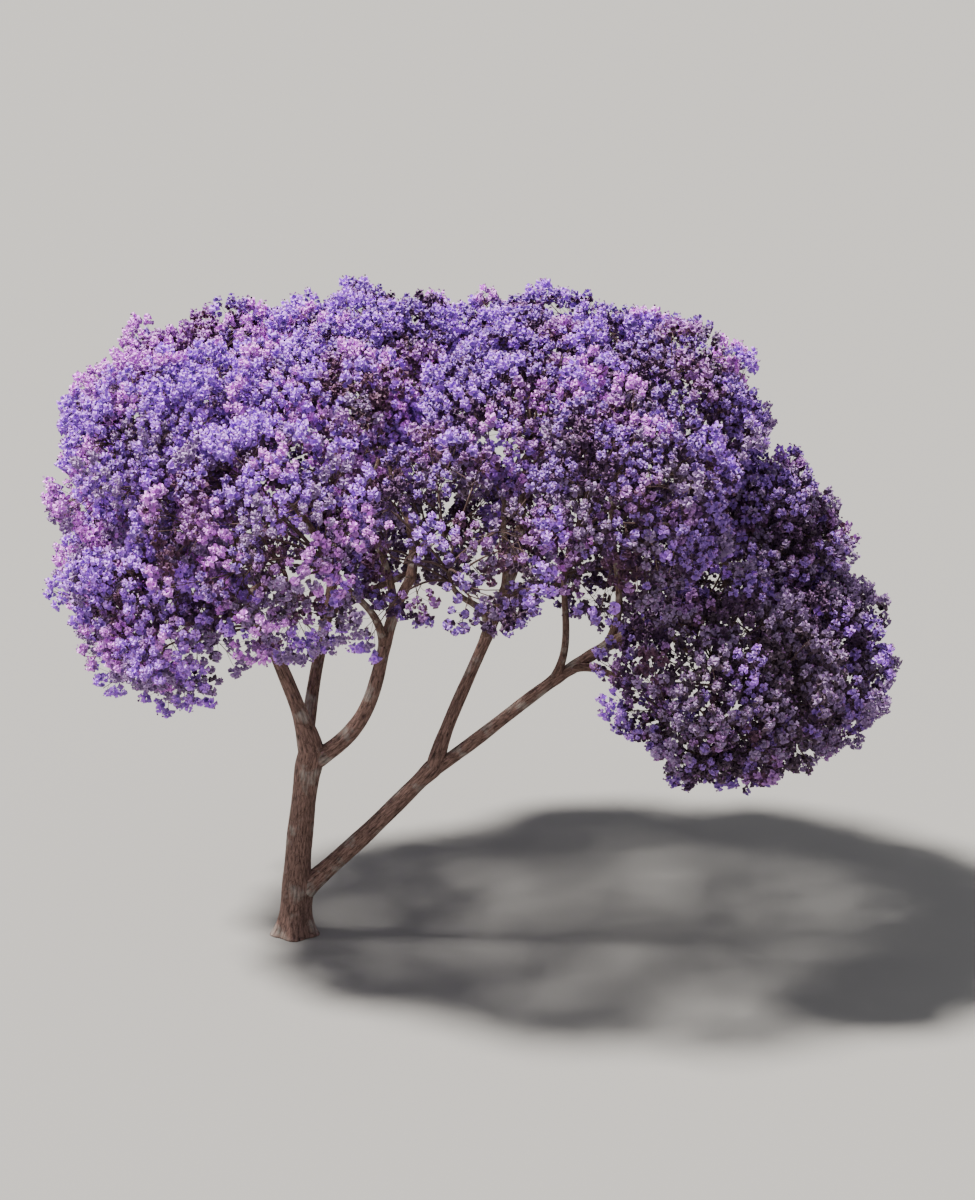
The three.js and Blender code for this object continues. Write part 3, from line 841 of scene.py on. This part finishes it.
def growTwigs(name, branches):
    # places near the crown's surface, kept where chance is at most kept (reach / furthest)^2, fewer on the
    # underside, and pulled in until they have room; a curve to each from the nearest of a few points on the
    # branches, of those that it lies ahead of
    mass = masses[name]
    number = mass["number"]
    direction = evenDirections(twigForm["places"], number + draws["twigDirection"])
    place = np.arange(len(direction)) + 1
    kept = dot(direction, mass["axis"]) > mass["widest"]
    direction, place = direction[kept], place[kept]
    reach = surfaceReach(direction, mass)
    below = np.maximum(0, -direction[:, 2])
    share = mass["kept"] * (reach / blend["furthest"])**2 * (1 - twigForm["fewerBelow"] * below)
    kept = chance(place, number + draws["twigKept"]) <= share
    direction, place, reach = direction[kept], place[kept], reach[kept]
    sunk = chance(place, number + draws["twigReach"])
    reach = reach * (1 - jitter["reach"] * sunk)
    end = np.zeros_like(direction)
    settled = np.zeros(len(direction), bool)
    for pull in twigForm["pulls"]:
        trial = mass["centre"] + direction * (mass["half"] * (reach * pull)[:, None] - twigForm["inset"])
        fits = keepsSpace(trial, twigForm["fromMasses"], name) & ~settled
        fits = fits & clearOfLimbs(trial, twigForm["fromLimbs"], name)
        end[fits] = trial[fits]
        settled |= fits
    direction, end, place, sunk = direction[settled], end[settled], place[settled], sunk[settled]
    shares = np.array(twigForm["shares"])
    rootPlace = curvePoints(branches, shares).reshape(-1, 3)
    rootAlong = curveTangents(branches, shares).reshape(-1, 3)
    way = end[:, None] - rootPlace
    distance = np.linalg.norm(way, axis=-1)
    isBehind = dot(way, rootAlong) / distance < twigForm["ahead"]
    best = np.argmin(distance + twigForm["behindCost"] * isBehind, axis=1)
    root, along = rootPlace[best], rootAlong[best]
    straight = unit(end - root)
    arriving = straight + direction + twigForm["lift"] * up
    control = curveThrough(root, end, along + straight, arriving, twigForm["bend"])
    middle = pointsAt(control, np.full(len(control), 0.5))
    fits = hasRoom(middle, twigForm["middleRoom"], name)
    branch = best // len(shares) + 1
    return control[fits], direction[fits], place[fits], branch[fits], sunk[fits]


def growPanicles(name, twigs, direction, place):
    # each twig's panicles stand on a shallow dome round its end: radius R sqrt(share), turned by the golden
    # angle; their stalks leave the twig further back the further out they stand
    number = masses[name]["number"]
    count = sprayForm["panicles"]
    order = np.tile(np.arange(count), len(twigs))
    twig = np.repeat(np.arange(len(twigs)), count)
    seed = place[twig] * sprayForm["seedStep"] + order
    share = (order + sprayForm["uneven"] * chance(seed, number + draws["panicleShare"])) / count
    turn = order * goldenAngle + place[twig] * sprayForm["turnStep"]
    outward = direction[twig]
    across = squareTo(outward, sprayForm["tilt"])
    third = np.cross(outward, across)
    sideways = across * np.cos(turn)[:, None] + third * np.sin(turn)[:, None]
    away = sprayForm["radius"] * np.sqrt(share)
    sink = sprayForm["dome"] * share + sprayForm["depth"] * chance(seed, number + draws["panicleSink"])
    foot = twigs[twig, 3] + sideways * away[:, None] - outward * sink[:, None]
    fits = hasRoom(foot, sprayForm["room"], name)
    foot, twig, seed, share = foot[fits], twig[fits], seed[fits], share[fits]
    leaning = panicleForm["sideways"] * sideways[fits] * share[:, None]
    axis = unit(outward[fits] + leaning + panicleForm["rise"] * up)
    low, high = panicleForm["sizes"]
    size = low + (high - low) * chance(seed, number + draws["panicleSize"])
    leaveShare = 1 - sprayForm["furtherBack"] * share
    root = pointsAt(twigs[twig], leaveShare)
    along = tangentsAt(twigs[twig], leaveShare)
    top = foot + axis * (size * panicleForm["length"] * panicleForm["stalkShare"])[:, None]
    stalks = curveThrough(root, top, along + unit(top - root), axis, sprayForm["bend"])
    return stalks, foot, axis, size, seed, twig


def growFlowers(foot, axis, size, seed, number):
    # flowers stand round a panicle's axis by the golden angle, in a cone that narrows upwards; each is a
    # funnel from a point on the axis to a five-sided mouth that opens outward and along, and droops a little
    count = panicleForm["flowers"]
    petals = flowerForm["petals"]
    panicle = np.repeat(np.arange(len(foot)), count)
    order = np.tile(np.arange(count), len(foot))
    bySeed, byOrder = flowerForm["seedSteps"]
    flowerSeed = seed[panicle] * bySeed + order * byOrder
    height = (order + chance(flowerSeed, number + draws["flowerHeight"])) / count
    turn = order * goldenAngle + seed[panicle]
    across = squareTo(axis, panicleForm["tilt"])[panicle]
    third = np.cross(axis[panicle], across)
    outward = across * np.cos(turn)[:, None] + third * np.sin(turn)[:, None]
    scale = size[panicle]
    uneven = panicleForm["uneven"]
    spread = panicleForm["width"] * (1 - panicleForm["narrowing"] * height)
    spread = spread * (1 - uneven + uneven * chance(flowerSeed, number + draws["flowerSpread"])) * scale
    base = foot[panicle] + axis[panicle] * (height * panicleForm["length"] * scale)[:, None]
    wobble = [chance(flowerSeed, number + draws["flowerWobble"] + k) - 0.5 for k in range(3)]
    heading = outward + flowerForm["forward"] * axis[panicle] - flowerForm["droop"] * up
    heading = unit(heading + flowerForm["wobble"] * np.stack(wobble, axis=-1))
    ownSize = chance(flowerSeed, number + draws["flowerGrowth"])
    growth = scale * (1 - flowerForm["smallerUp"] * height)
    growth = growth * (flowerForm["smallest"] + flowerForm["sizeRange"] * ownSize)
    isBud = height > flowerForm["budShare"]
    mouth = flowerForm["mouth"] * growth * np.where(isBud, flowerForm["budMouth"], 1)
    length = flowerForm["length"] * growth
    first = squareTo(heading, flowerForm["tilt"])
    second = np.cross(heading, first)
    rim = roundSection(petals)
    ring = first[:, None] * np.cos(rim)[:, None] + second[:, None] * np.sin(rim)[:, None]
    middle = base + outward * (spread * flowerForm["mouthOut"])[:, None] + heading * length[:, None]
    lip = middle[:, None] + ring * mouth[:, None, None]
    points = np.concatenate([base[:, None], lip], axis=1)
    here = np.arange(petals)
    corner = np.stack([0 * here, 1 + (here + 1) % petals, 1 + here], axis=-1)
    faces = (np.arange(len(points)) * (petals + 1))[:, None, None] + corner
    return points.reshape(-1, 3), faces.reshape(-1, 3), panicle, height


# A tint is the number of a petal's material. Pairs are the value at the crown's left edge and at its right.
# Part of the darkening of tints is painted shade: by how far a spray is sunk, by the way across and down,
# the dusky share and the lowest flowers of each panicle.
tintRule = {
    "left": -4, "width": 13, "top": 12, "tonesPerHue": 3, "duskyHue": 2,
    "rosy": (0.48, 0.25), "dusky": (0.3, 0.55), "duskyByLow": 2.2, "hueByBranch": 0.5,
    "shadeBySunk": 1.1, "byBranch": 0.7, "bySpray": 0.85, "byPanicle": 0.2, "shadeByAcross": 0.6, "shadeByLow": 0.4,
    "midLimit": (1.8, 1.46), "deep": (2.2, 2.34), "lowest": 0.3,
}


def tintOf(foot, branch, twigSeed, seed, sunk, number):
    # hue: rosy or blue by chance for the branch and the spray, fewer rosy to the right, and dusky for a
    # share of the sprays that grows with the square of the way across and with the way down, a duller colour
    # that paints shade on the right and lower crown; tone: age and painted shade, the sum of how far a spray
    # is sunk into the crown, chance for the branch, the spray and the panicle, the way across and the way
    # down, each times its weight, against two limits that part to the right; the chances are age, the
    # sinking, the way across and the way down are painted shade, and the parting limits flatten the tones on
    # the right
    across = np.clip((foot[:, 0] - tintRule["left"]) / tintRule["width"], 0, 1)
    low = np.clip(1 - foot[:, 2] / tintRule["top"], 0, 1)
    branchHue = chance(branch, number + draws["hueByBranch"])
    sprayHue = chance(twigSeed, number + draws["hueBySpray"])
    hue = between((sprayHue, branchHue), tintRule["hueByBranch"]) > between(tintRule["rosy"], across)
    # painted shade: the duller dusky colour is dealt more towards the right and lower down
    dusky = between(tintRule["dusky"], across**2) * np.minimum(1, tintRule["duskyByLow"] * low)
    hue = np.where(chance(twigSeed, number + draws["dusky"]) < dusky, tintRule["duskyHue"], hue)
    # painted shade: sprays sunk deeper into the crown take darker tones; the three chances below are age
    ageAndShade = tintRule["shadeBySunk"] * sunk
    ageAndShade = ageAndShade + tintRule["bySpray"] * chance(twigSeed, number + draws["ageBySpray"])
    ageAndShade = ageAndShade + tintRule["byBranch"] * chance(branch, number + draws["ageByBranch"])
    ageAndShade = ageAndShade + tintRule["byPanicle"] * chance(seed, number + draws["ageByPanicle"])
    # painted shade: darker tones towards the right and lower down; the two limits below part to the right,
    # flattening the tones there
    ageAndShade = ageAndShade + tintRule["shadeByAcross"] * across + tintRule["shadeByLow"] * low
    isMidTone = ageAndShade > between(tintRule["midLimit"], across)
    isDeep = ageAndShade > between(tintRule["deep"], across)
    return tintRule["tonesPerHue"] * hue + isMidTone + isDeep


def tintFlowers(tint, height):
    # a panicle's tint for each of its flowers: the lowest take the next darker tone, painted shade on the
    # panicle's underside, and those at the tip are buds
    tonesPerHue = tintRule["tonesPerHue"]
    # painted shade: the lowest flowers of a panicle take the next darker tone
    tint = tint + ((height < tintRule["lowest"]) & (tint % tonesPerHue < tonesPerHue - 1))
    return np.where(height > flowerForm["budShare"], len(petalMaterials) - 1, tint)


totals = {"twigs": 0, "panicles": 0, "twigTriangles": 0, "petalTriangles": 0}
for name, mass in masses.items():
    number = mass["number"]
    stem, branches = growBranches(name)
    twigs, direction, place, branch, sunk = growTwigs(name, branches)
    stalks, foot, axis, size, seed, twigOf = growPanicles(name, twigs, direction, place)
    woodPoints, woodFaces = joined([
        growTubes(stem, stemForm),
        growTubes(branches, branchForm),
        growTubes(twigs, twigForm),
        growTubes(stalks, sprayForm),
    ])
    twigPiece = makeMesh(f"twigs_{name}", woodPoints, woodFaces, [twigMaterial])
    standFor(twigPiece, f"blossom_{name}")

    points, faces, panicleOf, height = growFlowers(foot, axis, size, seed, number)
    tint = tintOf(foot, branch[twigOf], place[twigOf], seed, sunk[twigOf], number)
    tint = np.repeat(tintFlowers(tint[panicleOf], height), flowerForm["petals"])
    petalPiece = makeMesh(f"petals_{name}", points, [faces], petalMaterials, tint, smooth=False)
    standFor(petalPiece, f"blossom_{name}")

    totals["twigs"] += len(twigs)
    totals["panicles"] += len(foot)
    totals["twigTriangles"] += sum(len(group) * (group.shape[1] - 2) for group in woodFaces)
    totals["petalTriangles"] += len(faces)
print("crown grown:", totals)


# The floor, the light and the camera.
stage = {"radius": 2000, "color": (0.238, 0.233, 0.225, 1), "roughness": 0.9, "sides": 96, "height": -0.002}
angle = roundSection(stage["sides"])
floorPoints = np.stack([np.cos(angle), np.sin(angle), 0 * angle], axis=-1) * stage["radius"]
floorMaterial, _, floorShader = newMaterial("paleFloor")
floorShader.inputs["Base Color"].default_value = stage["color"]
floorShader.inputs["Roughness"].default_value = stage["roughness"]
floor = makeMesh("floor", floorPoints, [np.arange(stage["sides"])[None]], [floorMaterial], smooth=False)
floor.location.z = stage["height"]

light = {
    "sunStrength": 13, "sunColor": (1.0, 0.96, 0.9), "sunAngle": 10, "sunFrom": (-0.6, 0.05, 1.1),
    "skyStrength": 0.5, "skyColor": (0.95, 0.96, 1.0, 1),
}
sun = bpy.data.lights.new("sun", "SUN")
sun.energy = light["sunStrength"]
sun.color = light["sunColor"]
sun.angle = np.radians(light["sunAngle"])
sunObject = bpy.data.objects.new("sun", sun)
sunObject.rotation_euler = Vector(light["sunFrom"]).to_track_quat("Z", "Y").to_euler()
bpy.context.scene.collection.objects.link(sunObject)

world = bpy.data.worlds.new("softRoom")
world.use_nodes = True
world.node_tree.nodes["Background"].inputs["Color"].default_value = light["skyColor"]
world.node_tree.nodes["Background"].inputs["Strength"].default_value = light["skyStrength"]
bpy.context.scene.world = world

view = {
    "place": (3.686, -63.475, 27.4), "aim": (3.75, 0.6, 6.6),
    "lens": 106, "filmHeight": 36, "furthest": 2000,
}
camera = bpy.data.cameras.new("camera")
camera.lens = view["lens"]
camera.sensor_fit = "VERTICAL"
camera.sensor_height = view["filmHeight"]
camera.clip_end = view["furthest"]
cameraObject = bpy.data.objects.new("camera", camera)
cameraObject.location = view["place"]
aim = Vector(view["aim"]) - Vector(view["place"])
cameraObject.rotation_euler = aim.to_track_quat("-Z", "Y").to_euler()
bpy.context.scene.collection.objects.link(cameraObject)
bpy.context.scene.camera = cameraObject
print("stage, light and camera set")
